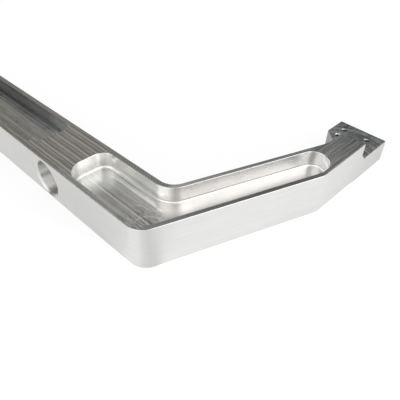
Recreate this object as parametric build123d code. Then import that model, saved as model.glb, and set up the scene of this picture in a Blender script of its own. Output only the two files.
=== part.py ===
from build123d import *
import math
import os

# ------------------------------------------------------------------
# Milled aluminium L-arm, one solid. Millimetres.
# While it is being built, the sharp corner where the two outer side
# faces meet is at X0 Y0 and the top faces lie on Z0. The wide arm runs
# along +Y, the narrow arm leaves at 20 degrees below +X and its end
# section turns back to run along +X. At the end everything is moved so
# that the origin is the middle of the cross bore.
# ------------------------------------------------------------------

# body
arm_depth = 30.5            # top faces to the relieved underside
pad_proud = 1.0             # head pad stands below the relieved underside
wide_arm_width = 40.0
wide_arm_length = 300.0     # from the sharp corner to the plain far end
narrow_arm_width = 30.0
narrow_arm_length = 125.0   # from the sharp corner to the bend
arm_angle = 20.0            # narrow arm below +X: the arms enclose 110 degrees
end_section_width = 19.5
outer_corner_radius = 12.5
inner_corner_radius = 11.5
bend_outer_radius = 10.0
bend_inner_radius = 9.0
far_end_radius = 2.0        # upright corners of the plain far end

# head with its stepped seat
head_end_x = 208.5          # at the outer side face
head_inner_y = -3.0
flare_start_x = 190.5       # where the flare reaches the head's inner side
flare_foot_x = 171.6        # where the flare leaves the end section
seat_skew = 3.5             # seat wall, screw row and end face lean together
seat_wall_x = 169.5         # at the outer side face
seat_depth = 14.75
seat_root_leg = 5.25        # 45 degree root between the seat and its wall
pad_edge_x = 166.36
relief_end_radius = 10.0

# cross bore through the wide arm
bore_radius = 12.5
bore_chamfer = 1.25
bore_y = 97.0
bore_drop = 16.0            # axis below the top face

# pockets
pocket_depth = 11.5
floor_fillet = 1.6
pocket_near_wall = 3.8      # wide arm, outer side; walls are measured below the rim break
pocket_far_wall = 4.1       # wide arm, inner side
pocket_end_y = 76.9
pocket_outer_wall = 3.5     # narrow arm, outer side
pocket_inner_wall = 3.4     # narrow arm, inner side
pocket_reach = 139.1        # along the narrow arm
pocket_bend_wall = 3.05
large_radius = 12.5
small_radius = 9.0
pocket_inner_corner_radius = 15.0
slot_near_wall = 5.05
slot_far_wall = 3.8
slot_start_y = 117.7
slot_end_y = 285.0

# seat holes
hole_spacing = 20.0
pin_spacing = 18.0
screw_hole_radius = 1.65
screw_sink_radius = 2.45
pin_hole_radius = 2.0
pin_sink_radius = 2.3
screw_row_x = 199.4
screw_row_y = -21.95
pin_setback = 10.4          # pin row behind the screw row, towards the wall

# edge breaks
top_break = 0.2
side_break = 0.2

arm = math.radians(arm_angle)
ca, sa = math.cos(arm), math.sin(arm)
skew = math.radians(seat_skew)


def from_arm(s, n):
    """Plan point s along the narrow arm and n in from its outer side face."""
    return (s * ca + n * sa, -s * sa + n * ca)


def line_x(n, x):
    """Plan point with that x on the line n in from the narrow arm's outer face."""
    return (x, (n - x * sa) / ca)


def line_y(n, y):
    """Plan point with that y on the line n in from the narrow arm's outer face."""
    return ((n - y * ca) / sa, y)


def rounded_outline(corners):
    """Closed face through (x, y, radius) corners, each rounded by its radius."""
    count = len(corners)
    spans = []
    for i, (x, y, r) in enumerate(corners):
        here = Vector(x, y, 0)
        before = Vector(*corners[i - 1][:2], 0)
        after = Vector(*corners[(i + 1) % count][:2], 0)
        u = (before - here).normalized()
        v = (after - here).normalized()
        if r <= 0:
            spans.append((here, None, here))
            continue
        half = math.radians(u.get_angle(v)) / 2
        leg = r / math.tan(half)
        mid_way = (u + v).normalized()
        centre = here + mid_way * (r / math.sin(half))
        spans.append((here + u * leg, centre - mid_way * r, here + v * leg))
    edges = []
    for i, (start, middle, stop) in enumerate(spans):
        if middle is not None:
            edges.append(ThreePointArc(start, middle, stop))
        following = spans[(i + 1) % count][0]
        if (following - stop).length > 1e-6:
            edges.append(Line(stop, following))
    return make_face(edges)


full_depth = arm_depth + pad_proud
outer_y = -narrow_arm_length * sa
inner_y = outer_y + end_section_width
head_far_x = head_end_x + (head_inner_y - outer_y) * math.tan(skew)

# ------------------------------------------------------------- body
body_outline = rounded_outline([
    (0, 0, outer_corner_radius),
    (narrow_arm_length * ca, outer_y, bend_outer_radius),
    (head_end_x, outer_y, 0),
    (head_far_x, head_inner_y, 0),
    (flare_start_x, head_inner_y, 0),
    (flare_foot_x, inner_y, 0),
    (*line_y(narrow_arm_width, inner_y), bend_inner_radius),
    (*line_x(narrow_arm_width, wide_arm_width), inner_corner_radius),
    (wide_arm_width, wide_arm_length, far_end_radius),
    (0, wide_arm_length, far_end_radius),
])
body = extrude(Pos(0, 0, -full_depth) * body_outline, full_depth)

# underside relieved up to the head pad, run out with a cutter radius
relief_flat_end = pad_edge_x - math.sqrt(relief_end_radius**2 - (relief_end_radius - pad_proud)**2)
relief_profile = Plane.XZ * make_face([
    Line((-40, -arm_depth), (relief_flat_end, -arm_depth)),
    ThreePointArc(
        (relief_flat_end, -arm_depth),
        (relief_flat_end + relief_end_radius * math.sin(0.2),
         -arm_depth - relief_end_radius * (1 - math.cos(0.2))),
        (pad_edge_x, -full_depth),
    ),
    Line((pad_edge_x, -full_depth), (pad_edge_x + 1, -full_depth - 3)),
    Line((pad_edge_x + 1, -full_depth - 3), (-40, -full_depth - 3)),
    Line((-40, -full_depth - 3), (-40, -arm_depth)),
])
body -= Pos(0, 320, 0) * extrude(relief_profile, 420, both=False)

# ------------------------------------------------------------- seat
# profile across the seat: upright wall, 45 degree root, flat floor
seat_profile = Plane.XZ * make_face(Polyline(
    (0, 5), (0, -(seat_depth - seat_root_leg)), (seat_root_leg, -seat_depth),
    (70, -seat_depth), (70, 5), close=True,
))
seat_tool = Rot(0, 0, -seat_skew) * extrude(seat_profile, 60, both=True)
body -= Pos(seat_wall_x, outer_y, 0) * seat_tool

# ------------------------------------------------------------- edge breaks of the outer form
def on_plane_z(edge, z):
    box = edge.bounding_box()
    return abs(box.min.Z - z) < 1e-4 and abs(box.max.Z - z) < 1e-4


upright = [e for e in body.edges()
           if e.geom_type == GeomType.LINE
           and abs(e.tangent_at(0.5).Z) > 0.99
           and min(math.hypot(e.center().X - x, e.center().Y - y) for x, y in (
               (head_end_x, outer_y), (head_far_x, head_inner_y), (flare_start_x, head_inner_y))) < 0.5]
body = chamfer(upright, side_break)
top_edges = [e for e in body.edges() if on_plane_z(e, 0)]
body = chamfer(top_edges, top_break)
seat_rim = [e for e in body.edges() if on_plane_z(e, -seat_depth)
            and e.center().X > seat_wall_x + seat_root_leg + 1.5]
body = chamfer(seat_rim, side_break)
under_edges = [e for e in body.edges() if on_plane_z(e, -arm_depth)
               and e.center().X < relief_flat_end - 0.5]
body = chamfer(under_edges, side_break)

# ------------------------------------------------------------- pockets
def pocket(outline):
    """Blind pocket tool: upright walls and a rounded root round the floor."""
    tool = extrude(Pos(0, 0, -pocket_depth) * outline, pocket_depth + 2)
    floor_edges = [e for e in tool.edges() if on_plane_z(e, -pocket_depth)]
    return fillet(floor_edges, floor_fillet)


corner_pocket = pocket(rounded_outline([
    (*line_x(pocket_outer_wall, pocket_near_wall), large_radius),
    (*line_y(pocket_outer_wall, outer_y + pocket_bend_wall), bend_outer_radius),
    ((pocket_reach + (outer_y + pocket_bend_wall) * sa) / ca, outer_y + pocket_bend_wall, large_radius),
    (*from_arm(pocket_reach, narrow_arm_width - pocket_inner_wall), small_radius),
    (*line_x(narrow_arm_width - pocket_inner_wall, wide_arm_width - pocket_far_wall),
     pocket_inner_corner_radius),
    (wide_arm_width - pocket_far_wall, pocket_end_y, small_radius),
    (pocket_near_wall, pocket_end_y, large_radius),
]))
slot = pocket(rounded_outline([
    (slot_near_wall, slot_start_y, small_radius),
    (wide_arm_width - slot_far_wall, slot_start_y, small_radius),
    (wide_arm_width - slot_far_wall, slot_end_y, small_radius),
    (slot_near_wall, slot_end_y, small_radius),
]))
before = body.edges()
body = body - corner_pocket - slot
rims = [e for e in body.edges() if on_plane_z(e, 0)
        and (0.5 < e.center().X or e.center().Y > 0)]
inner_rims = []
for e in rims:
    c = e.center()
    near_old = any((c - o.center()).length < 1e-3 for o in before)
    if not near_old:
        inner_rims.append(e)
body = chamfer(inner_rims, top_break)

# ------------------------------------------------------------- cross bore
bore = Pos(wide_arm_width / 2, bore_y, -bore_drop) * Rot(0, 90, 0) * Cylinder(bore_radius, wide_arm_width + 4)
mouth = Cone(bore_radius + bore_chamfer + 1, bore_radius, bore_chamfer + 1)
near_mouth = (Pos(-1, bore_y, -bore_drop) * Rot(0, 90, 0)
              * Pos(0, 0, (bore_chamfer + 1) / 2) * mouth)
far_mouth = (Pos(wide_arm_width + 1, bore_y, -bore_drop) * Rot(0, -90, 0)
             * Pos(0, 0, (bore_chamfer + 1) / 2) * mouth)
body = body - bore - near_mouth - far_mouth

# ------------------------------------------------------------- seat holes
row = Vector(math.sin(skew), math.cos(skew), 0)
back = Vector(-math.cos(skew), math.sin(skew), 0)
middle = Vector(screw_row_x, screw_row_y, 0)


def seat_hole(at, radius, sink):
    hole = Pos(at.X, at.Y, -(seat_depth + full_depth) / 2) * Cylinder(radius, full_depth - seat_depth + 2)
    leg = sink - radius
    top = Pos(at.X, at.Y, -seat_depth + 0.5 - (leg + 0.5) / 2) * Cone(radius, sink + 0.5, leg + 0.5)
    under = Pos(at.X, at.Y, -full_depth - 0.5 + (leg + 0.5) / 2) * Cone(sink + 0.5, radius, leg + 0.5)
    return hole + top + under


for side in (-0.5, 0.5):
    body -= seat_hole(middle + row * (side * hole_spacing), screw_hole_radius, screw_sink_radius)
    body -= seat_hole(middle + row * (side * pin_spacing) + back * pin_setback,
                      pin_hole_radius, pin_sink_radius)

# ------------------------------------------------------------- place on the bore and write
machined_arm = Pos(-wide_arm_width / 2, -bore_y, bore_drop) * body
machined_arm = machined_arm.solids()[0] if len(machined_arm.solids()) == 1 else machined_arm
machined_arm.label = "machined_arm"

os.makedirs("parts", exist_ok=True)
export_step(machined_arm, "parts/machined_arm.step")

box = machined_arm.bounding_box()
print("solids", len(machined_arm.solids()), "valid", machined_arm.is_valid)
print("volume cm3", round(machined_arm.volume / 1000, 2))
print("box", [round(v, 3) for v in (*box.min, *box.max)])
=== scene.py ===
import bpy, bmesh, math
from mathutils import Vector, Matrix


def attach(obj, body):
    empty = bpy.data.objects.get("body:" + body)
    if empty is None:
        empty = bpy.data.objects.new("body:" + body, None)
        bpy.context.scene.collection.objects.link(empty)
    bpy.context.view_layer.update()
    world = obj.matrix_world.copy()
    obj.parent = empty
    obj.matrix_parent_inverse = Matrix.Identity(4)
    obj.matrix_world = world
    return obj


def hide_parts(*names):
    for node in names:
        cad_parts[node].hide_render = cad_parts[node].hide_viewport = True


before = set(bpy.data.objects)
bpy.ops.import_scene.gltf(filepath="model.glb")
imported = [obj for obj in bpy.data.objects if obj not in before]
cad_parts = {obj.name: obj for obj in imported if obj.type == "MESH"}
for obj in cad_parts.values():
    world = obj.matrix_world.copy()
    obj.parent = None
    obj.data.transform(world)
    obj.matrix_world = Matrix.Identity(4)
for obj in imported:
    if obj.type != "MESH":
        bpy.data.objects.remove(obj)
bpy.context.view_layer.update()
scene = bpy.context.scene

# ---------------------------------------------------------------- sizes, mm, measured from the
# sharp corner where the two outer side faces meet (X across the wide arm, Y along it, Z0 = top faces)
SHIFT = Vector((20.0, 97.0, -16.0))
ARM = math.radians(20.0)
CA, SA = math.cos(ARM), math.sin(ARM)
SKEW = math.radians(3.5)
POCKET_Z, SEAT_Z, UNDER_Z, PAD_Z = -11.5, -14.75, -30.5, -31.5
BORE_Y, BORE_Z, BORE_R = 97.0, -16.0, 12.5

# ---------------------------------------------------------------- node helpers
class Mat:
    """A node material under construction. Every wire is a socket or a plain number."""

    def __init__(self, name):
        self.m = bpy.data.materials.new(name)
        self.m.use_nodes = True
        self.t = self.m.node_tree
        self.t.nodes.clear()
        self.out = self.t.nodes.new("ShaderNodeOutputMaterial")
        self.bsdf = self.t.nodes.new("ShaderNodeBsdfPrincipled")
        self.t.links.new(self.bsdf.outputs[0], self.out.inputs[0])
        co = self.t.nodes.new("ShaderNodeTexCoord")
        self.pos = self.vmath("ADD", self.vmath("SCALE", co.outputs["Object"], scale=1000.0), tuple(SHIFT))

    def put(self, sock, v):
        if isinstance(v, bpy.types.NodeSocket):
            self.t.links.new(v, sock)
        elif isinstance(v, (tuple, list, Vector)):
            v = tuple(v)
            sock.default_value = v + (1.0,) if sock.type == "RGBA" and len(v) == 3 else v
        else:
            sock.default_value = v

    def vmath(self, op, a, b=None, scale=None):
        n = self.t.nodes.new("ShaderNodeVectorMath")
        n.operation = op
        self.put(n.inputs[0], a)
        if b is not None:
            self.put(n.inputs[1], b)
        if scale is not None:
            self.put(n.inputs["Scale"], scale)
        return n.outputs["Value"] if op in ("DOT_PRODUCT", "LENGTH", "DISTANCE") else n.outputs["Vector"]

    def math(self, op, a, b=None, c=None, clamp=False):
        n = self.t.nodes.new("ShaderNodeMath")
        n.operation = op
        n.use_clamp = clamp
        for i, v in enumerate((a, b, c)):
            if v is not None:
                self.put(n.inputs[i], v)
        return n.outputs[0]

    def axes(self, along, across, up=(0, 0, 1)):
        """Position in mm along three directions, as three sockets."""
        return tuple(self.vmath("DOT_PRODUCT", self.pos, d) for d in (along, across, up))

    def xyz(self, x=0.0, y=0.0, z=0.0):
        n = self.t.nodes.new("ShaderNodeCombineXYZ")
        for i, v in enumerate((x, y, z)):
            self.put(n.inputs[i], v)
        return n.outputs[0]

    def noise(self, vec, scale=1.0, detail=2.0, rough=0.5, dist=0.0):
        n = self.t.nodes.new("ShaderNodeTexNoise")
        n.noise_dimensions = "3D"
        self.put(n.inputs["Vector"], vec)
        n.inputs["Scale"].default_value = scale
        n.inputs["Detail"].default_value = detail
        n.inputs["Roughness"].default_value = rough
        n.inputs["Distortion"].default_value = dist
        return n.outputs[0]

    def band(self, v, lo, hi, to_lo=0.0, to_hi=1.0, smooth=True):
        n = self.t.nodes.new("ShaderNodeMapRange")
        n.interpolation_type = "SMOOTHSTEP" if smooth else "LINEAR"
        n.clamp = True
        for s, x in zip(("Value", "From Min", "From Max", "To Min", "To Max"), (v, lo, hi, to_lo, to_hi)):
            self.put(n.inputs[s], x)
        return n.outputs[0]

    def mix(self, f, a, b, kind="RGBA"):
        n = self.t.nodes.new("ShaderNodeMix")
        n.data_type = kind
        n.clamp_factor = True
        pick = {"RGBA": (6, 7, 2), "FLOAT": (2, 3, 0), "VECTOR": (4, 5, 1)}[kind]
        self.put(n.inputs[0], f)
        self.put(n.inputs[pick[0]], a)
        self.put(n.inputs[pick[1]], b)
        return n.outputs[pick[2]]

    def bump(self, h, strength=0.3, distance=0.00005):
        n = self.t.nodes.new("ShaderNodeBump")
        n.inputs["Strength"].default_value = strength
        n.inputs["Distance"].default_value = distance
        self.put(n.inputs["Height"], h)
        self.t.links.new(n.outputs[0], self.bsdf.inputs["Normal"])

    def metal(self, color, rough, aniso=0.0, tangent=None):
        self.put(self.bsdf.inputs["Base Color"], color)
        self.bsdf.inputs["Metallic"].default_value = 1.0
        self.put(self.bsdf.inputs["Roughness"], rough)
        self.bsdf.inputs["Anisotropic"].default_value = aniso
        if tangent is not None:
            self.put(self.bsdf.inputs["Tangent"], tangent)
        return self.m


ALUMINIUM = (0.690, 0.684, 0.664)


def tone(k, level, spread=1.0, base=ALUMINIUM):
    """The metal's own colour, lighter or darker by level (a socket near 0) times spread."""
    f = k.math("MAXIMUM", k.math("ADD", k.math("MULTIPLY", level, spread), 1.0), 0.15)
    return k.vmath("SCALE", base, scale=f)


def centred(k, v, mid=0.5):
    return k.math("SUBTRACT", v, mid)


def lines(k, across, along, fine=1.0, run=0.02, detail=3.0, seed=0.0):
    """Long thin tool marks: noise pulled out along one direction. Mean 0."""
    p = k.xyz(k.math("ADD", across, seed), k.math("MULTIPLY", along, run), seed)
    return centred(k, k.noise(p, fine, detail, 0.6))


def peak(k, phase, at, width):
    """A smooth ridge of half width around a phase in 0..1."""
    d = k.math("ABSOLUTE", k.math("SUBTRACT", k.math("FRACT", k.math("ADD", phase, 0.5 - at + 1.0)), 0.5))
    return k.band(d, 0.0, width, 1.0, 0.0)


def stripe(k, v, at, half):
    """One soft line of that half width where v passes at."""
    return k.band(k.math("ABSOLUTE", k.math("SUBTRACT", v, at)), 0.0, half, 1.0, 0.0)


def ring_mark(k, x, y, cx, cy, r, half):
    """The thin mark left by the rim of a cutter standing at cx, cy."""
    d = k.vmath("LENGTH", k.xyz(k.math("SUBTRACT", x, cx), k.math("SUBTRACT", y, cy), 0.0))
    return stripe(k, d, r, half)


def total(k, *terms):
    """Weighted sum of (socket, weight) pairs."""
    v = None
    for sock, w in terms:
        x = k.math("MULTIPLY", sock, w)
        v = x if v is None else k.math("ADD", v, x)
    return v


def times(k, a, b):
    return k.math("MULTIPLY", a, b)


N_DIR = (SA, CA, 0.0)
S_DIR = (CA, -SA, 0.0)


def make_top():
    k = Mat("machined_top")
    y, x, _ = k.axes((0, 1, 0), (1, 0, 0))
    s, n, _ = k.axes(S_DIR, N_DIR)
    # face-milled block: one pass every 5.9 mm, each with a main and a fainter cusp line
    wander = times(k, centred(k, k.noise(k.xyz(0, times(k, y, 0.03), 3.0), 1.0, 1.0)), 0.10)
    phase = k.math("ADD", k.math("DIVIDE", k.math("SUBTRACT", x, 5.75), 5.9), wander)
    main = peak(k, phase, 0.0, 0.20)
    second = peak(k, phase, 0.60, 0.13)
    flank = k.math("ADD", peak(k, phase, 0.25, 0.09), peak(k, phase, 0.82, 0.07))
    fine_w = lines(k, x, y, 1.1, 0.03)
    hair_w = lines(k, x, y, 3.5, 0.05, 2.0, 13.0)
    wide_t = total(k, (main, 0.74), (second, 0.34), (flank, -0.14), (fine_w, 0.85), (hair_w, 0.50))
    wide_t = k.math("SUBTRACT", wide_t, 0.15)
    wide_h = total(k, (main, 1.0), (second, 0.5), (fine_w, 0.8), (hair_w, 0.5))
    # thin rims: slanted cutter ticks, one every 2.7 mm
    tick_n = k.math("SINE", times(k, k.math("ADD", s, times(k, n, 0.85)), 2 * math.pi / 2.7))
    ticks_n = total(k, (tick_n, 0.5), (lines(k, k.math("ADD", s, n), n, 1.1, 0.2, 2.0, 7.0), 0.9))
    tick_w = k.math("SINE", times(k, k.math("SUBTRACT", y, times(k, x, 0.85)), 2 * math.pi / 2.7))
    ticks_w = total(k, (tick_w, 0.5), (lines(k, k.math("SUBTRACT", y, x), x, 1.1, 0.2, 2.0, 9.0), 0.9))
    # end section: long passes along X, a dark line where two of them meet
    bend = times(k, k.math("POWER", k.math("DIVIDE", k.math("SUBTRACT", x, 150.0), 30.0), 2.0), 0.5)
    ye = k.math("ADD", y, bend)
    phase_e = k.math("DIVIDE", k.math("ADD", ye, 41.0), 6.15)
    dark_e = peak(k, phase_e, 0.0, 0.13)
    mid_e = peak(k, phase_e, 0.36, 0.10)
    pale_e = peak(k, phase_e, 0.66, 0.13)
    fine_e = lines(k, ye, x, 1.1, 0.035, 4.0, 4.0)
    broad_e = lines(k, ye, x, 0.30, 0.05, 2.0, 2.0)
    hair_e = lines(k, ye, x, 3.2, 0.05, 2.0, 6.0)
    end = total(k, (dark_e, -0.36), (mid_e, -0.18), (pale_e, 0.40), (fine_e, 1.70), (broad_e, 0.5), (hair_e, 0.6))
    end_t = k.math("ADD", total(k, (end, 1.0), (k.band(x, 138.0, 168.0), -0.30)), 0.22)
    m_rim = times(k, k.band(x, 34.9, 36.4), k.band(y, 79.0, 73.0))
    m_slot = times(k, k.band(x, 35.4, 36.6), k.band(y, 116.0, 122.0))
    m_w = k.math("MAXIMUM", m_rim, m_slot)
    wide_t = k.mix(m_w, wide_t, k.math("SUBTRACT", times(k, ticks_w, 0.20), times(k, m_rim, 0.12)), "FLOAT")
    wide_hh = k.mix(m_w, wide_h, times(k, ticks_w, 0.8), "FLOAT")
    narrow_near = lines(k, n, s, 0.8, 0.02, 3.0, 5.0)
    m_far = k.band(n, 12.0, 18.0)
    hump = times(k, stripe(k, s, 56.0, 46.0), 0.03)
    nar_t = k.mix(m_far, k.math("ADD", times(k, narrow_near, 0.45), k.math("SUBTRACT", hump, 0.27)),
                  k.math("ADD", times(k, ticks_n, 0.20), 0.32), "FLOAT")
    nar_h = k.mix(m_far, narrow_near, times(k, ticks_n, 0.8), "FLOAT")
    m_narrow = k.band(k.math("SUBTRACT", y, times(k, x, 0.434)), 2.5, -2.5)
    q = k.math("SUBTRACT", k.math("SUBTRACT", x, 117.0), times(k, k.math("ADD", y, 42.8), 0.935))
    m_end = k.band(q, -1.5, 1.5)
    # the outer corner's rim is darker, with one lighter smear
    m_cor = times(k, k.band(y, 15.0, 7.0), k.band(x, 46.0, 28.0))
    smear = times(k, k.band(k.vmath("LENGTH", k.xyz(k.math("SUBTRACT", x, 1.7), times(k, k.math("SUBTRACT", y, 9.0), 0.30), 0.0)), 1.3, 0.5), 0.34)
    t = k.mix(m_end, k.mix(m_narrow, wide_t, nar_t, "FLOAT"), end_t, "FLOAT")
    m_lip = times(k, k.band(x, 4.4, 3.6), times(k, k.band(y, 14.0, 22.0), k.band(y, 84.0, 76.0)))
    t = k.math("ADD", t, total(k, (m_cor, -0.04), (smear, 1.0), (m_lip, 0.22)))
    h = k.mix(m_end, k.mix(m_narrow, wide_hh, nar_h, "FLOAT"), end, "FLOAT")
    tangent = k.mix(m_end, k.mix(m_narrow, (1, 0, 0), N_DIR, "VECTOR"), (0, 1, 0), "VECTOR")
    k.bump(h, 1.0, 0.000005)
    # the troughs are a touch warmer than the cusp lines, the far end a touch cooler
    block = k.mix(k.band(main, 0.05, 0.6), (0.698, 0.676, 0.648), (0.676, 0.690, 0.666))
    m_block = times(k, k.band(y, 62.0, 88.0), k.band(x, 60.0, 50.0))
    cool = k.mix(k.band(x, 90.0, 130.0), (0.676, 0.682, 0.660), (0.668, 0.690, 0.690))
    warm = k.mix(m_block, k.mix(m_cor, cool, (0.650, 0.684, 0.694)), block)
    # the end section has a few browner passes
    m_warm = times(k, k.band(broad_e, -0.06, 0.06), m_end)
    warm = k.mix(m_warm, warm, (0.690, 0.682, 0.664))
    texture = k.mix(m_end, k.mix(m_narrow, fine_w, narrow_near, "FLOAT"), fine_e, "FLOAT")
    rough = k.band(texture, -0.3, 0.3, 0.22, 0.30)
    return k.metal(tone(k, t, 1.0, warm), rough, 0.45, tangent)


def make_side():
    k = Mat("machined_side")
    px, py, pz = k.axes((1, 0, 0), (0, 1, 0))
    around = k.xyz(times(k, px, 0.010), times(k, py, 0.010), times(k, pz, 0.55))
    streak = centred(k, k.noise(around, 1.0, 4.0, 0.68))
    fine = k.xyz(times(k, px, 0.05), times(k, py, 0.05), times(k, pz, 3.2))
    fine = centred(k, k.noise(fine, 1.0, 3.0, 0.6))
    mottle = centred(k, k.noise(k.vmath("SCALE", k.pos, scale=0.09), 1.0, 3.0, 0.55))
    scuff = centred(k, k.noise(k.xyz(times(k, k.math("ADD", px, times(k, pz, 0.9)), 0.11),
                                     times(k, k.math("ADD", py, times(k, pz, 0.9)), 0.11), times(k, pz, 0.5)), 1.0, 2.0, 0.5))
    t = total(k, (streak, 0.17), (fine, 0.12), (mottle, 0.05), (scuff, 0.06))
    # painted shade: the side faces by the head (x 166 to 206, y above -22) are darkened as if mirroring a shadowed
    # floor; all sides darken slightly towards the head
    painted_shade_head_side = times(k, times(k, k.band(px, 166.0, 172.0), k.band(px, 206.0, 200.0)), k.band(py, -26.0, -22.0))
    t = k.math("ADD", t, total(k, (painted_shade_head_side, -0.50), (k.band(px, 150.0, 200.0), -0.07)))
    k.bump(total(k, (streak, 0.6), (fine, 0.8)), 0.8, 0.000005)
    rough = k.band(streak, -0.3, 0.3, 0.31, 0.37)
    return k.metal(tone(k, t, 1.0, (0.605, 0.603, 0.592)), rough, 0.5, k.xyz(0, 0, 1.0))


def make_break():
    k = Mat("machined_break")
    f = centred(k, k.noise(k.vmath("SCALE", k.pos, scale=0.35), 1.0, 2.0, 0.5))
    return k.metal(tone(k, f, 0.12, (0.620, 0.617, 0.605)), k.band(f, -0.3, 0.3, 0.24, 0.32), 0.0)


def make_wall(name, level=1.0, tint=(1.0, 1.0, 1.0)):
    """End-milled pocket wall: fine upright marks and faint step lines round it."""
    k = Mat(name)
    px, py, pz = k.axes((1, 0, 0), (0, 1, 0))
    upright = centred(k, k.noise(k.xyz(times(k, px, 0.9), times(k, py, 0.9), times(k, pz, 0.05)), 1.0, 2.0, 0.5))
    patch = centred(k, k.noise(k.vmath("SCALE", k.pos, scale=0.12), 1.0, 4.0, 0.62))
    lines_h = centred(k, k.noise(k.xyz(times(k, px, 0.025), times(k, py, 0.025), times(k, pz, 1.1)), 1.0, 3.0, 0.6))
    step = stripe(k, pz, -4.3, 1.1)
    if name == "machined_slot_wall":
        # painted light: the slot wall is lighter towards the slot's end (y 136 to 152) and at y 141 and 165, standing
        # in for the lit end wall it mirrors; a lighter band runs round its middle height
        smear = centred(k, k.noise(k.xyz(0.0, times(k, k.math("SUBTRACT", py, times(k, pz, 1.2)), 0.09), times(k, pz, 0.10)), 1.0, 4.0, 0.65))
        waist = stripe(k, pz, -4.6, 3.4)
        t = total(k, (upright, 0.20), (patch, 0.30), (lines_h, 0.30), (smear, -0.9), (waist, 0.26), (k.band(py, 152.0, 136.0), 0.36), (stripe(k, py, 141.0, 15.0), 0.30), (stripe(k, py, 165.0, 26.0), 0.30))
        t = k.math("SUBTRACT", t, 0.22)
    else:
        # painted light and shade standing in for what the walls mirror: lighter over the upper wall (far less on the
        # wide leg's far wall), lighter along the narrow leg, darker near the wide leg's end corner (y 66 to 74)
        wide_far = times(k, k.band(px, 34.5, 35.5), k.band(py, 28.0, 32.0))
        rim = times(k, k.band(pz, -9.0, -1.5), k.band(wide_far, 1.0, 0.0, 0.05, 0.34))
        t = total(k, (upright, 0.09), (patch, 0.10), (lines_h, 0.14), (step, 0.05), (k.band(px, 40.0, 60.0), 0.05), (k.band(px, 60.0, 120.0), 0.13), (rim, 1.0), (wide_far, 0.10), (k.band(py, 66.0, 74.0), -0.16))
    k.bump(total(k, (upright, 0.5), (lines_h, 0.7), (step, -0.5)), 0.8, 0.0000020)
    base = tuple(v * c * level for v, c in zip((0.870, 0.866, 0.850), tint))
    if name == "machined_slot_wall":
        satin = k.math("ADD", k.band(patch, -0.3, 0.3, 0.17, 0.25), k.band(py, 152.0, 134.0, 0.0, 0.10))
    else:
        satin = k.band(patch, -0.3, 0.3, 0.23, 0.28)
    return k.metal(tone(k, t, 1.0, base), satin, 0.35, k.xyz(0, 0, 1.0))


def make_fillet(name, level=0.97, rough=(0.29, 0.36)):
    k = Mat(name)
    f = centred(k, k.noise(k.vmath("SCALE", k.pos, scale=0.22), 1.0, 2.0, 0.5))
    base = tuple(v * level for v in (0.900, 0.896, 0.882))
    t = times(k, f, 0.16)
    if name == "machined_pocket_fillet":
        px, _, pz = k.axes((1, 0, 0), (0, 1, 0))
        # painted shade at the fillet's foot (z -11 to -11.3) and a painted highlight just above it (z -10.6 to -10.2)
        t = k.math("ADD", t, total(k, (k.band(pz, -11.0, -11.3), -0.14), (k.band(pz, -10.6, -10.2), 0.08)))
    if name == "machined_slot_fillet":
        _, py, _ = k.axes((1, 0, 0), (0, 1, 0))
        # painted light: lighter towards the slot's end (below y 150), a little darker past y 190
        t = k.math("ADD", t, total(k, (k.band(py, 182.0, 150.0), 0.62), (k.band(py, 182.0, 190.0), -0.10)))
    if name == "machined_bore_mouth":
        _, py, pz = k.axes((1, 0, 0), (0, 1, 0))
        turn = times(k, k.math("ARCTAN2", k.math("SUBTRACT", pz, BORE_Z), k.math("SUBTRACT", py, BORE_Y)), 180 / math.pi)
        # painted reflections: a lighter crescent near -42 degrees and a darker band near -108 degrees round the bore
        # axis
        t = k.math("ADD", t, total(k, (stripe(k, turn, -42.0, 36.0), 0.28), (stripe(k, turn, -108.0, 30.0), -0.22)))
    return k.metal(tone(k, t, 1.0, base), k.band(f, -0.3, 0.3, rough[0], rough[1]), 0.0)


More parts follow.
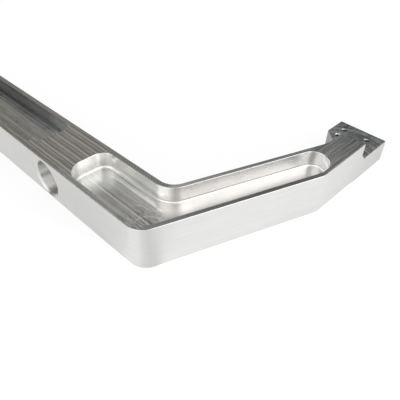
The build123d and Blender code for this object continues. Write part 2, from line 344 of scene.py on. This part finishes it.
def make_floor_finish(name, slot_side):
    """Pocket floor: end-mill passes lengthwise in the wide arm, cross arcs in the narrow one."""
    k = Mat(name)
    y, x, _ = k.axes((0, 1, 0), (1, 0, 0))
    s, n, _ = k.axes(S_DIR, N_DIR)
    fine = lines(k, x, y, 0.9, 0.03, 4.0, 11.0)
    hair = lines(k, x, y, 3.2, 0.05, 2.0, 17.0)
    blotch = centred(k, k.noise(k.xyz(times(k, x, 0.15), times(k, y, 0.12), 5.0), 1.0, 4.0, 0.6))
    waver = k.math("ADD", x, times(k, centred(k, k.noise(k.xyz(0.0, times(k, y, 0.05), 8.0), 1.0, 2.0)), 1.6))
    if slot_side:
        marks = None
        for at, half, w in ((11.0, 1.2, 0.14), (13.4, 2.0, -0.16), (16.6, 1.3, 0.26), (19.6, 2.2, -0.18), (23.4, 1.0, 0.14), (26.0, 0.9, 0.12),
                            (29.0, 0.8, -0.22), (30.2, 0.7, 0.28), (31.7, 0.8, -0.22), (33.0, 0.8, 0.26), (35.2, 1.0, -0.26)):
            one = times(k, stripe(k, waver, at, half), w)
            marks = one if marks is None else k.math("ADD", marks, one)
        # rings left by the cutter's rim where it turned, beside the near wall, each dark with a light edge
        arcs = None
        for cx, cy, r, w in ((15.5, 146.5, 7.2, 1.0), (14.0, 139.0, 6.2, 0.9), (17.0, 155.0, 7.6, 0.9), (13.0, 151.0, 7.0, 0.7),
                             (15.0, 166.0, 7.4, 0.6), (14.5, 179.0, 7.8, 0.9), (16.0, 190.0, 7.6, 0.7), (16.0, 131.0, 6.6, 0.6)):
            ring = total(k, (ring_mark(k, x, y, cx, cy, r, 0.75), w), (ring_mark(k, x, y, cx, cy, r - 1.1, 0.6), -0.7 * w))
            arcs = ring if arcs is None else k.math("ADD", arcs, ring)
        where = k.band(k.noise(k.xyz(times(k, x, 0.13), times(k, y, 0.11), 9.0), 1.0, 2.0, 0.5), 0.40, 0.58)
        arcs = times(k, times(k, arcs, where), times(k, k.band(x, 7.0, 9.5), k.band(x, 25.0, 21.0)))
        # painted light: lighter near the slot's end about x 31 (below y 152); slightly darker towards the near side
        # below x 20
        end = times(k, k.band(y, 152.0, 134.0), stripe(k, x, 31.0, 4.0))
        near = total(k, (k.band(x, 20.0, 13.0), -0.05), (end, 0.22))
        t = total(k, (fine, 1.0), (hair, 0.35), (blotch, 0.35), (marks, 1.0), (arcs, -0.26))
        t = k.math("ADD", t, near)
        h = total(k, (fine, 0.7), (hair, 0.5), (arcs, -0.8))
        tangent = k.xyz(1.0, 0, 0)
        base = k.mix(k.band(x, 28.0, 32.5), (0.672, 0.678, 0.654), (0.640, 0.672, 0.688))
    else:
        edge = k.math("SUBTRACT", x, times(k, y, 0.19))
        m = k.band(k.math("ADD", edge, times(k, blotch, 5.0)), 26.0, 28.5)
        fade = k.band(y, 66.0, 54.0)
        marks = total(k, (stripe(k, waver, 11.2, 0.9), 0.28), (stripe(k, waver, 13.6, 0.8), -0.14),
                      (stripe(k, waver, 16.8, 0.9), 0.52), (stripe(k, waver, 18.4, 0.7), -0.34),
                      (stripe(k, waver, 24.7, 1.3), 0.24), (stripe(k, waver, 28.4, 0.7), -0.18),
                      (stripe(k, waver, 30.4, 1.0), 0.42), (stripe(k, x, 33.3, 1.0), -0.42))
        # rings where the cutter stood while it turned the corner
        rings = total(k, (ring_mark(k, x, y, 15.5, 10.0, 8.6, 0.5), 1.0), (ring_mark(k, x, y, 18.5, 24.0, 6.4, 0.45), 0.6),
                      (ring_mark(k, x, y, 27.5, 3.0, 7.4, 0.5), 0.8), (ring_mark(k, x, y, 12.0, 26.0, 11.5, 0.45), 0.5))
        corner = times(k, k.band(y, 34.0, 22.0), k.band(x, 36.0, 26.0))
        ripple = centred(k, k.noise(k.xyz(times(k, x, 0.42), times(k, y, 0.30), 3.0), 1.0, 3.0, 0.6, 0.8))
        glare = times(k, k.band(k.vmath("LENGTH", k.xyz(times(k, k.math("SUBTRACT", x, 32.3), 0.22),
                                                        times(k, k.math("SUBTRACT", y, 23.8), 0.10), 0.0)), 1.0, 0.2), 0.30)
        wide = total(k, (fine, 0.80), (hair, 0.34), (blotch, 0.30), (times(k, marks, fade), 1.0),
                     (times(k, rings, corner), 0.50), (corner, -0.16), (times(k, ripple, corner), 1.4))
        wide = k.math("ADD", wide, total(k, (corner, 0.06), (glare, 1.0), (k.band(y, 58.0, 70.0), -0.23)))
        arcs = k.math("SINE", times(k, k.math("ADD", s, times(k, k.math("POWER", k.math("DIVIDE", k.math("SUBTRACT", n, 15.0), 11.0), 2.0), 4.0)), 2 * math.pi / 1.9))
        low = centred(k, k.noise(k.xyz(times(k, s, 0.06), times(k, n, 0.14), 5.0), 1.0, 3.0, 0.55))
        narrow = k.math("SUBTRACT", total(k, (arcs, 0.02), (low, 0.16), (blotch, 0.08), (k.band(s, 46.0, 36.0), 0.12)), 0.29)
        t = k.mix(m, wide, narrow, "FLOAT")
        h = k.mix(m, total(k, (fine, 0.7), (hair, 0.5), (rings, 0.5)), total(k, (arcs, 0.10), (low, 0.4)), "FLOAT")
        tangent = k.mix(m, (1, 0, 0), N_DIR, "VECTOR")
        base = k.mix(m, (0.741, 0.740, 0.717), (0.755, 0.734, 0.712))
    k.bump(h, 1.0, 0.000006)
    rough = k.band(blotch, -0.3, 0.3, 0.27, 0.34)
    if not slot_side:
        rough = k.math("ADD", rough, total(k, (k.band(y, 44.0, 62.0), 0.12), (m, 0.02)))
    return k.metal(tone(k, t, 1.0, base), rough, 0.4, tangent)


def make_bore():
    k = Mat("machined_bore")
    x, y, z = k.axes((1, 0, 0), (0, 1, 0))
    ring = centred(k, k.noise(k.xyz(times(k, x, 1.6), times(k, y, 0.01), times(k, z, 0.01)), 1.0, 2.0, 0.5))
    f = centred(k, k.noise(k.vmath("SCALE", k.pos, scale=0.07), 1.0, 2.0, 0.5))
    turn = times(k, k.math("ARCTAN2", k.math("SUBTRACT", z, BORE_Z), k.math("SUBTRACT", y, BORE_Y)), 180 / math.pi)
    # painted reflections: darker bands by angle round the bore axis, at 32, -23 and -90 degrees
    painted_reflection_bands = total(k, (stripe(k, turn, 32.0, 26.0), -0.42), (stripe(k, turn, -23.0, 14.0), -0.34), (stripe(k, turn, -90.0, 30.0), -0.46))
    k.bump(ring, 0.5, 0.0000005)
    return k.metal(tone(k, total(k, (ring, 0.05), (f, 0.08), (painted_reflection_bands, 1.0)), 1.0, (0.905, 0.900, 0.880)),
                   k.band(f, -0.3, 0.3, 0.40, 0.46), 0.85, k.xyz(1.0, 0, 0))


def make_seat(name, kind):
    k = Mat(name)
    r_dir = (math.sin(SKEW), math.cos(SKEW), 0.0)
    b_dir = (math.cos(SKEW), -math.sin(SKEW), 0.0)
    u, v, z = k.axes(r_dir, b_dir)
    if kind == "floor":
        # swept by a cutter of 44 mm whose middle ran along the far edge
        slow = centred(k, k.noise(k.xyz(times(k, u, 0.07), times(k, v, 0.07), 1.0), 1.0, 1.0, 0.5))
        vv = k.math("ADD", v, times(k, slow, 2.2))
        out = k.math("SUBTRACT", vv, 208.0)
        reach = k.math("SQRT", k.math("MAXIMUM", k.math("SUBTRACT", 22.0 ** 2, times(k, out, out)), 1.0))
        lead = k.math("SUBTRACT", u, reach)
        trail = k.math("ADD", u, reach)
        bowed = k.math("ADD", vv, times(k, k.math("POWER", k.math("DIVIDE", k.math("ADD", u, 18.0), 20.0), 2.0), 6.0))
        fine = lines(k, bowed, u, 0.62, 0.05, 3.0, 21.0)
        hair = lines(k, bowed, u, 2.6, 0.06, 2.0, 27.0)
        broad = lines(k, bowed, u, 0.30, 0.03, 2.0, 41.0)
        sweep = total(k, (lines(k, lead, v, 0.55, 0.05, 3.0, 51.0), 1.0), (lines(k, trail, v, 0.55, 0.05, 3.0, 61.0), 0.8))
        feed = k.math("SINE", times(k, lead, 2 * math.pi / 1.3))
        pale = k.band(k.vmath("LENGTH", k.xyz(k.math("SUBTRACT", v, 192.0), times(k, k.math("SUBTRACT", u, 5.0), 1.2), 0.0)), 13.0, 4.0)
        smear = k.band(k.vmath("LENGTH", k.xyz(k.math("SUBTRACT", v, 207.4), times(k, k.math("ADD", u, 12.0), 0.55), 0.0)), 1.3, 0.5)
        rim = stripe(k, v, 210.1, 0.6)
        t = total(k, (fine, 1.0), (hair, 0.4), (broad, 1.3), (sweep, 1.0), (feed, 0.03), (pale, 0.22), (smear, 0.6), (rim, 0.55))
        t = k.math("SUBTRACT", t, 0.02)
        k.bump(total(k, (fine, 1.0), (sweep, 0.6), (hair, 0.5)), 1.0, 0.000005)
        return k.metal(tone(k, t, 1.0, (0.660, 0.684, 0.690)), k.band(total(k, (fine, 1.0), (broad, 1.6), (sweep, 0.8), (pale, 0.06)), -0.32, 0.32, 0.12, 0.30), 0.4, b_dir_socket(k, b_dir))
    fine = lines(k, z, u, 1.2, 0.05, 3.0, 23.0)
    k.bump(fine, 0.8, 0.000004)
    return k.metal(tone(k, fine, 0.3, (0.480, 0.490, 0.490)), k.band(fine, -0.3, 0.3, 0.22, 0.30), 0.3, k.xyz(0, 0, 1.0))


def b_dir_socket(k, d):
    return k.xyz(*d)


def make_hole():
    k = Mat("machined_hole_painted_shade")
    f = centred(k, k.noise(k.vmath("SCALE", k.pos, scale=0.8), 1.0, 2.0, 0.5))
    # painted shade: the holes are a much darker copy of the metal (0.30), and the wide spread of tone paints glints on
    # the thread
    return k.metal(tone(k, f, 2.6, (0.30, 0.30, 0.295)), k.band(f, -0.3, 0.3, 0.24, 0.34), 0.0)


def make_pin_hole():
    k = Mat("machined_pin_hole")
    f = centred(k, k.noise(k.vmath("SCALE", k.pos, scale=0.8), 1.0, 2.0, 0.5))
    return k.metal(tone(k, f, 0.2, (0.86, 0.86, 0.84)), k.band(f, -0.3, 0.3, 0.16, 0.22), 0.0)


def make_under(name):
    k = Mat(name)
    y, x, _ = k.axes((0, 1, 0), (1, 0, 0))
    s, n, _ = k.axes(S_DIR, N_DIR)
    phase = k.math("DIVIDE", k.math("SUBTRACT", x, 4.0), 7.5)
    wide = total(k, (peak(k, phase, 0.0, 0.18), 0.30), (lines(k, x, y, 1.1, 0.03, 3.0, 31.0), 0.6))
    narrow = total(k, (peak(k, k.math("DIVIDE", n, 7.5), 0.0, 0.18), 0.30), (lines(k, n, s, 1.1, 0.03, 3.0, 33.0), 0.6))
    m = k.band(k.math("SUBTRACT", y, times(k, x, 0.434)), 1.5, -1.5)
    t = k.math("SUBTRACT", k.mix(m, wide, narrow, "FLOAT"), 0.06)
    k.bump(t, 1.0, 0.000008)
    rough = k.band(t, -0.4, 0.6, 0.25, 0.34)
    return k.metal(tone(k, t, 1.0), rough, 0.45, k.mix(m, (1, 0, 0), N_DIR, "VECTOR"))


names = ["top", "side", "break", "pocket_wall", "pocket_floor", "pocket_fillet", "slot_wall", "slot_floor",
         "slot_fillet", "bore", "bore_mouth", "seat", "seat_wall", "seat_root", "hole", "pin_hole", "under", "pad"]
materials = {
    "top": make_top(), "side": make_side(), "break": make_break(),
    "pocket_wall": make_wall("machined_pocket_wall"), "pocket_floor": make_floor_finish("machined_pocket_floor", False),
    # painted shade: the slot wall (level 0.69) and slot fillet (level 0.22) are darker copies of the pocket finishes;
    # the fillet is a painted shadow line round the slot floor
    "pocket_fillet": make_fillet("machined_pocket_fillet"), "slot_wall": make_wall("machined_slot_wall", 0.69, (1.0, 1.0, 0.99)),
    "slot_floor": make_floor_finish("machined_slot_floor", True), "slot_fillet": make_fillet("machined_slot_fillet", 0.22, (0.30, 0.36)),
    "bore": make_bore(), "bore_mouth": make_fillet("machined_bore_mouth", 0.72, (0.30, 0.36)), "seat": make_seat("machined_seat", "floor"),
    "seat_wall": make_seat("machined_seat_wall", "wall"), "seat_root": make_seat("machined_seat_root", "wall"),
    "hole": make_hole(), "pin_hole": make_pin_hole(), "under": make_under("machined_under"), "pad": make_under("machined_pad"),
}

# ---------------------------------------------------------------- the arm, its faces sorted by how each was cut
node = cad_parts["machined_arm"]
arm = bpy.data.objects.new("arm_body", node.data.copy())
scene.collection.objects.link(arm)
arm.data.materials.clear()
for n in names:
    arm.data.materials.append(materials[n])
index = {n: i for i, n in enumerate(names)}
holes = []
row = Vector((math.sin(SKEW), math.cos(SKEW), 0))
back = Vector((-math.cos(SKEW), math.sin(SKEW), 0))
for side in (-0.5, 0.5):
    c = Vector((199.4, -21.95, 0)) + row * (side * 20.0)
    holes.append((c, 2.45))
    holes.append((Vector((199.4, -21.95, 0)) + row * (side * 18.0) + back * 10.4, 2.3))


def in_pocket(c):
    """Whether a point lies in plan between the rims of one of the two pockets."""
    n = c.x * SA + c.y * CA
    corner = c.x > 3.0 and n > 3.0 and -40.5 < c.y < 78.5 and c.x < 141 and (c.x < 39.3 or n < 29.4)
    return corner or (4.4 < c.x < 37.0 and 117.0 < c.y < 286.0)


def kind_of(p):
    me = arm.data
    vs = [me.vertices[i].co * 1000 + SHIFT for i in p.vertices]
    c = sum(vs, Vector()) / len(vs)
    n = p.normal
    z_lo, z_hi = min(v.z for v in vs), max(v.z for v in vs)
    for h, r in holes:
        if all((Vector((v.x, v.y, 0)) - h).length < r + 0.05 for v in vs) and (z_hi - z_lo > 0.2 or abs(n.z) < 0.9):
            return "hole" if r > 2.4 else "pin_hole"
    radial = [math.hypot(v.y - BORE_Y, v.z - BORE_Z) for v in vs]
    if all(abs(r - BORE_R) < 0.05 for r in radial):
        return "bore"
    if abs(n.x) < 0.95 and all(BORE_R - 0.05 < r < BORE_R + 1.3 for r in radial) and (c.x < 2 or c.x > 38) and c.x < 41:
        return "bore_mouth"
    if n.z > 0.99:
        if z_hi > -0.05:
            return "top"
        if abs(c.z - SEAT_Z) < 0.05:
            return "seat"
        return "slot_floor" if c.y > 110 and c.x < 40 else "pocket_floor"
    if n.z < -0.9 and z_lo < -30:
        return "pad" if c.x > 160 else "under"
    inside_slot = c.y > 110 and 1.5 < c.x < 38.5
    if abs(n.z) < 0.05:
        if c.x > 168 and z_lo > -9.6 and n.x > 0.9:
            return "seat_wall"
        if z_lo > -12 and in_pocket(c):
            return "slot_wall" if inside_slot else "pocket_wall"
        return "side"
    if c.x > 168 and -14.8 < c.z < -9.4 and 0.6 < n.z < 0.8 and z_hi - z_lo > 3:
        return "seat_root"
    if z_hi < -9.5 and z_lo > -11.55 and in_pocket(c):
        return "slot_fillet" if inside_slot else "pocket_fillet"
    return "break"


count = {}
for p in arm.data.polygons:
    k = kind_of(p)
    p.material_index = index[k]
    count[k] = count.get(k, 0) + 1


def weld_and_thread(ob):
    """Join the faces into one closed skin and cut an M4 thread into the two screw holes."""
    me = ob.data
    normals = [tuple(c.vector) for c in me.corner_normals]
    bm = bmesh.new()
    bm.from_mesh(me)
    keep = bm.loops.layers.float_vector.new("keep_normal")
    i = 0
    for f in bm.faces:
        for l in f.loops:
            l[keep] = normals[i]
            i += 1
    bmesh.ops.remove_doubles(bm, verts=bm.verts, dist=1e-7)
    pitch, minor, major = 0.7, 1.65, 2.0
    for h, r in holes:
        if r < 2.4:
            continue

        def place(v):
            return v.co * 1000 + SHIFT

        def on_ring(v, z):
            q = place(v)
            return abs(q.z - z) < 0.01 and abs(math.hypot(q.x - h.x, q.y - h.y) - minor) < 0.01

        upper = [v for v in bm.verts if on_ring(v, z_top)]
        lower = [v for v in bm.verts if on_ring(v, z_low)]
        rim = set(upper) | set(lower)
        bmesh.ops.delete(bm, geom=[f for f in bm.faces if all(v in rim for v in f.verts)], context="FACES")

        def turn(v):
            q = place(v)
            return math.atan2(q.y - h.y, q.x - h.x) % (2 * math.pi)

        upper.sort(key=turn)
        lower.sort(key=turn)
        count_r = len(upper)
        base = turn(upper[0])
        ang = [(turn(v) - base) % (2 * math.pi) for v in upper] + [2 * math.pi]
        shift_low = min(range(count_r), key=lambda j: abs(turn(lower[j]) - base))
        lower = lower[shift_low:] + lower[:shift_low]
        turns = int((z_top - z_low) / pitch) - 1
        # profile of one pitch: crest, down the flank, root, up the flank
        prof = [(0.0, minor), (0.18, minor), (0.44, major), (0.66, major)]
        grid = {}

        def made(i, j):
            """Vertex on turn-line j at angle i; the line after one full turn is four lines further down."""
            if i == count_r:
                i, j = 0, j + 4
            if (i, j) in grid:
                return grid[(i, j)]
            if (i, j) == (0, 0):
                grid[(0, 0)] = upper[0]
                return upper[0]
            f_, rad = prof[j % 4]
            z = z_top - (j // 4 + f_ + ang[i] / (2 * math.pi)) * pitch
            if j // 4 == 0 and i < count_r:
                rad = minor + (rad - minor) * min(1.0, ang[i] / math.pi)
            a_ = base + ang[i]
            q = Vector((h.x + rad * math.cos(a_), h.y + rad * math.sin(a_), z))
            grid[(i, j)] = bm.verts.new((q - SHIFT) / 1000)
            return grid[(i, j)]

        last = turns * 4
        faces = []

        def face(vs):
            out = []
            for v in vs:
                if v not in out:
                    out.append(v)
            if len(out) >= 3:
                f = bm.faces.new(out)
                f.material_index = index["hole"]
                f.smooth = False
                faces.append(f)

        for i in range(count_r):
            for j in range(last):
                face([made(i, j), made(i, j + 1), made(i + 1, j + 1), made(i + 1, j)])
        for i in range(count_r):
            nxt = upper[(i + 1) % count_r]
            if i < count_r - 1:
                face([upper[i], made(i, 0), made(i + 1, 0), nxt])
            else:
                face([upper[i], made(i, 0), made(0, 4), made(0, 3), made(0, 2), made(0, 1), upper[0]])
        # below the last line a plain wall down to the lower ring
        for i in range(count_r):
            nxt = lower[(i + 1) % count_r]
            if i == 0:
                face([made(0, last), made(0, last + 1), made(0, last + 2), made(0, last + 3), made(0, last + 4), lower[0], nxt,
                      made(1, last)])
            elif i < count_r - 1:
                face([made(i, last), lower[i], nxt, made(i + 1, last)])
            else:
                face([made(i, last), lower[i], nxt, made(count_r, last)])
        for f in faces:
            f.normal_update()
            c = f.calc_center_median() * 1000 + SHIFT
            if f.normal.dot(Vector((h.x - c.x, h.y - c.y, 0))) < -1e-9:
                f.normal_flip()
    bm.normal_update()
    wide_faces = [f for f in bm.faces if len(f.verts) > 4]
    bmesh.ops.triangulate(bm, faces=wide_faces)
    bm.to_mesh(me)
    # where two faces of one cut meet almost smoothly, both take the same normal
    shared = {}
    for v in bm.verts:
        known = {}
        for l in v.link_loops:
            if l[keep].length > 0.5:
                known[(l.face.material_index,) + tuple(round(c, 4) for c in l[keep])] = l[keep].normalized()
        for l in v.link_loops:
            if l[keep].length > 0.5:
                own = l[keep].normalized()
                near = [n for key, n in known.items() if key[0] == l.face.material_index and own.dot(n) > 0.975]
                shared[l] = sum(near, Vector()).normalized()
    loops = []
    for f in bm.faces:
        for l in f.loops:
            loops.append(tuple(shared[l]) if l in shared else tuple(f.normal))
    print("skin: verts", len(bm.verts), "faces", len(bm.faces), "open edges", sum(1 for e in bm.edges if not e.is_manifold),
          "inverted pairs", sum(1 for e in bm.edges if e.is_manifold and not e.is_contiguous))
    bm.free()
    me.attributes.remove(me.attributes["keep_normal"])
    me.normals_split_custom_set(loops)
    me.update()


z_top, z_low = -15.55, -30.7
weld_and_thread(arm)
print("faces by cut", count)
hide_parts("machined_arm")
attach(arm, "root")

# ---------------------------------------------------------------- studio
class Sky:
    """Node arithmetic for the studio: brightness by direction."""

    def __init__(self, tree, vec):
        self.t = tree
        sep = tree.nodes.new("ShaderNodeSeparateXYZ")
        tree.links.new(vec, sep.inputs[0])
        self.x, self.y, self.z = sep.outputs
        self.flat = self.math("SQRT", self.math("ADD", self.math("ADD", self.math("MULTIPLY", self.x, self.x),
                                                                  self.math("MULTIPLY", self.y, self.y)), 1e-6))
        self.el = self.math("MULTIPLY", self.math("ARCTAN2", self.z, self.flat), 180 / math.pi)

    def put(self, sock, v):
        if isinstance(v, bpy.types.NodeSocket):
            self.t.links.new(v, sock)
        else:
            sock.default_value = v

    def math(self, op, a, b=None):
        n = self.t.nodes.new("ShaderNodeMath")
        n.operation = op
        self.put(n.inputs[0], a)
        if b is not None:
            self.put(n.inputs[1], b)
        return n.outputs[0]

    def step(self, v, lo, hi):
        n = self.t.nodes.new("ShaderNodeMapRange")
        n.interpolation_type = "SMOOTHSTEP"
        for s_, x in zip(("Value", "From Min", "From Max", "To Min", "To Max"), (v, lo, hi, 0.0, 1.0)):
            self.put(n.inputs[s_], x)
        return n.outputs[0]

    def azimuth(self, centre, half, feather):
        """1 within half degrees of that azimuth, fading over feather degrees."""
        a = math.radians(centre)
        d = self.math("DIVIDE", self.math("ADD", self.math("MULTIPLY", self.x, math.cos(a)),
                                          self.math("MULTIPLY", self.y, math.sin(a))), self.flat)
        return self.step(d, math.cos(math.radians(min(179.0, half + feather))), math.cos(math.radians(half)))

    def mix(self, f, a, b):
        n = self.t.nodes.new("ShaderNodeMix")
        n.data_type = "RGBA"
        self.put(n.inputs[0], f)
        self.put(n.inputs[6], a)
        self.put(n.inputs[7], b)
        return n.outputs[2]


def grey(v, tint=(1.0, 1.0, 1.0)):
    return tuple(v * c for c in tint) + (1.0,)


def make_floor():
    me = bpy.data.meshes.new("studio_floor")
    z = -0.01551
    seg = 64
    verts = [(6 * math.cos(2 * math.pi * i / seg), 6 * math.sin(2 * math.pi * i / seg), z) for i in range(seg)]
    me.from_pydata(verts, [], [list(range(seg))])
    o = bpy.data.objects.new("studio_floor", me)
    scene.collection.objects.link(o)
    m = bpy.data.materials.new("studio_floor")
    m.use_nodes = True
    t = m.node_tree
    t.nodes.clear()
    out = t.nodes.new("ShaderNodeOutputMaterial")
    add = t.nodes.new("ShaderNodeAddShader")
    em = t.nodes.new("ShaderNodeEmission")
    em.inputs["Strength"].default_value = 1.0
    co = t.nodes.new("ShaderNodeTexCoord")
    shift = t.nodes.new("ShaderNodeVectorMath")
    shift.operation = "SUBTRACT"
    t.links.new(co.outputs["Object"], shift.inputs[0])
    shift.inputs[1].default_value = (-0.0075, -0.088, 0.0)
    k = Sky(t, shift.outputs[0])
    # painted light: the floor glows evenly, with brighter painted pools towards azimuth 178 and -58 where the two
    # softboxes fall on it
    c = grey(0.865)
    c = k.mix(k.azimuth(178, 30, 40), c, grey(0.99))
    c = k.mix(k.azimuth(178, 16, 22), c, grey(1.15))
    c = k.mix(k.azimuth(-58, 18, 28), c, grey(1.22))
    t.links.new(c, em.inputs["Color"])
    df = t.nodes.new("ShaderNodeBsdfDiffuse")
    df.inputs["Color"].default_value = (0.14, 0.14, 0.14, 1)
    t.links.new(em.outputs[0], add.inputs[0])
    t.links.new(df.outputs[0], add.inputs[1])
    t.links.new(add.outputs[0], out.inputs[0])
    me.materials.append(m)
    return o


make_floor()


def make_world():
    w = bpy.data.worlds.new("studio")
    scene.world = w
    w.use_nodes = True
    t = w.node_tree
    t.nodes.clear()
    out = t.nodes.new("ShaderNodeOutputWorld")
    bg = t.nodes.new("ShaderNodeBackground")
    t.links.new(bg.outputs[0], out.inputs[0])
    co = t.nodes.new("ShaderNodeTexCoord")
    k = Sky(t, co.outputs["Generated"])
    up = k.step
    c = k.mix(up(k.el, 22, 2), grey(0.05), grey(0.70))                        # unlit far side of the room
    c = k.mix(up(k.el, 30, 60), c, grey(0.72))                              # getting lighter overhead
    patch = k.math("MULTIPLY", k.azimuth(66, 14, 18), k.math("MULTIPLY", up(k.el, 18, 26), up(k.el, 48, 36)))
    c = k.mix(patch, c, grey(0.27, (1.04, 1.0, 0.94)))                      # its one faintly lit wall
    deep = k.math("MULTIPLY", k.azimuth(16, 12, 26), k.math("MULTIPLY", up(k.el, 20, 30), up(k.el, 56, 44)))
    c = k.mix(deep, c, grey(0.115))                                         # and a fainter one past the head
    near = k.mix(up(k.el, 10, 32), grey(0.74), grey(1.26))
    wall = k.math("MULTIPLY", k.azimuth(124, 6, 10), k.math("MULTIPLY", up(k.el, 31, 37), up(k.el, 62, 50)))
    c = k.mix(wall, c, grey(0.80))                                          # lit wall past the left softbox
    c = k.mix(k.azimuth(-128, 64, 38), c, near)                             # camera's side of the room
    fill = k.math("MULTIPLY", k.azimuth(-34, 16, 44), up(k.el, 16, 44))
    c = k.mix(fill, c, grey(1.08))                                          # fill on the right
    right = k.math("MULTIPLY", k.azimuth(-70, 19, 23), k.math("MULTIPLY", up(k.el, 14, 32), up(k.el, 72, 56)))
    c = k.mix(right, c, grey(2.52))                                         # right softbox
    left = k.math("MULTIPLY", k.azimuth(180, 18, 30), k.math("MULTIPLY", up(k.el, 15, 36), up(k.el, 68, 52)))
    c = k.mix(left, c, grey(1.70))                                          # left softbox
    gap = k.math("MULTIPLY", k.azimuth(-125, 5, 26), k.math("MULTIPLY", up(k.el, 10, 22), up(k.el, 74, 60)))
    c = k.mix(gap, c, grey(0.90))                                           # gap between the two, beside the camera
    c = k.mix(up(k.el, 58, 80), c, grey(0.74))                              # even overhead
    c = k.mix(up(k.el, 12, 2), c, grey(1.0))                                # pale at the horizon
    t.links.new(c, bg.inputs["Color"])
    bg.inputs["Strength"].default_value = 1.0


make_world()

cam = bpy.data.cameras.new("camera")
cam.lens = 39.31
cam.sensor_width = 36.0
cam.sensor_fit = "HORIZONTAL"
cam.clip_start = 0.01
cam.clip_end = 50
cam_ob = bpy.data.objects.new("camera", cam)
scene.collection.objects.link(cam_ob)
right = Vector((0.700663, -0.713306, 0.016302))
down = Vector((-0.451195, -0.460666, -0.764336))
ahead = Vector((0.552715, 0.528187, -0.644612))
rot = Matrix((right, -down, -ahead)).transposed().to_4x4()
cam_ob.matrix_world = Matrix.Translation((-0.116641, -0.235725, 0.180179)) @ rot
scene.camera = cam_ob

scene.view_settings.view_transform = "Standard"
scene.view_settings.look = "None"
